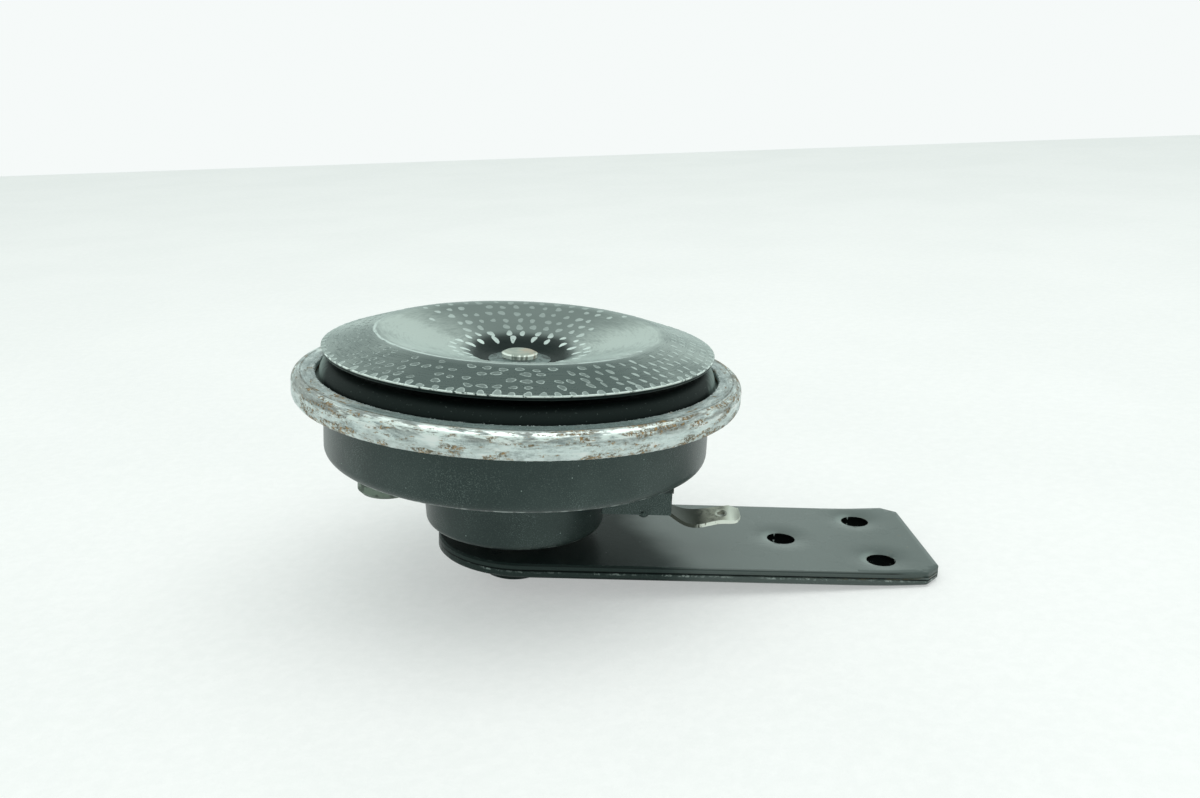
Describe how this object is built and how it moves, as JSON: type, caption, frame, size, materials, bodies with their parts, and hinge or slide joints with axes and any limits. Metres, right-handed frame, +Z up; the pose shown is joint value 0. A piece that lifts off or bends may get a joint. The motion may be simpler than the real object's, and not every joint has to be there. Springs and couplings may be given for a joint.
{
  "type": "disc horn",
  "caption": "Electromagnetic disc horn: stepped steel case, clamp ring, dished resonator disc, spade terminal and flat leaf bracket.",
  "frame": {"origin": "on the horn axis, in the lower face of the mounting nut and stud end that the horn stands on", "axes": "+Z up the horn axis towards the resonator disc, +X along the bracket towards its free end"},
  "size_m": [0.1457, 0.1, 0.0577],
  "materials": {
    "bracket_paint": "smooth satin black paint",
    "case_paint": "satin black paint with fine pale dust",
    "diaphragm_paint": "satin black paint",
    "disc_paint": "satin black paint over a dimpled sheet, worn bare on the dimples and the rim",
    "ring_zinc": "weathered zinc with brown rust patches",
    "rivet_zinc": "dull zinc with a rust tint",
    "zinc_hardware": "dull zinc",
    "core_steel": "plain machined steel",
    "enamelled_copper": "enamelled copper wire",
    "tinned_brass": "tinned brass, dulled",
    "spring_bronze": "bright spring bronze",
    "tungsten": "ground tungsten",
    "bush_metal": "dull brownish zinc",
    "bobbin_plastic": "moulded plastic",
    "block_plastic": "dusty dark moulding",
    "seal_rubber": "black rubber",
    "gasket_fibre": "vulcanised fibre"
  },
  "bodies": {
    "housing": {"bracket_upper_leaf": "bracket_paint", "bracket_lower_leaf": "bracket_paint", "mounting_nut": "zinc_hardware", "spacer_washer": "zinc_hardware", "tooth_lock_washer": "zinc_hardware", "pole_core": "core_steel", "rear_case": "case_paint", "coil_bobbin": "bobbin_plastic", "coil_winding": "enamelled_copper", "yoke_plate": "core_steel", "terminal_lead": "enamelled_copper", "contact_lead": "enamelled_copper", "lower_gasket": "gasket_fibre", "diaphragm": "diaphragm_paint", "upper_gasket": "gasket_fibre", "clamp_ring": "ring_zinc", "terminal_seal": "seal_rubber", "terminal_block": "block_plastic", "spade_terminal": "tinned_brass", "terminal_rivet": "tinned_brass", "terminal_inner_washer": "gasket_fibre", "solder_tag": "tinned_brass", "adjuster_bush": "bush_metal", "adjuster_screw": "zinc_hardware", "breaker_base": "core_steel", "lower_insulator": "gasket_fibre", "moving_contact_spring": "spring_bronze", "moving_contact": "tungsten", "pusher_peg": "gasket_fibre", "upper_insulator": "gasket_fibre", "fixed_contact": "tungsten", "fixed_contact_arm": "core_steel", "clamp_plate": "core_steel", "stack_screws": "zinc_hardware"},
    "vibrator": {"armature": "core_steel", "backing_washer": "zinc_hardware", "disc_spacer": "zinc_hardware", "resonator_disc": "disc_paint", "cone_washer": "rivet_zinc", "centre_rivet": "rivet_zinc"}
  },
  "joints": [
    {"name": "armature_stroke", "type": "slide", "parent": "housing", "child": "vibrator", "axis": [0, 0, 1], "range_m": [-0.0009, 0.0004], "stiffness_N_per_m": 120000, "deforming": ["diaphragm", "moving_contact_spring", "moving_contact", "pusher_peg"]}
  ]
}
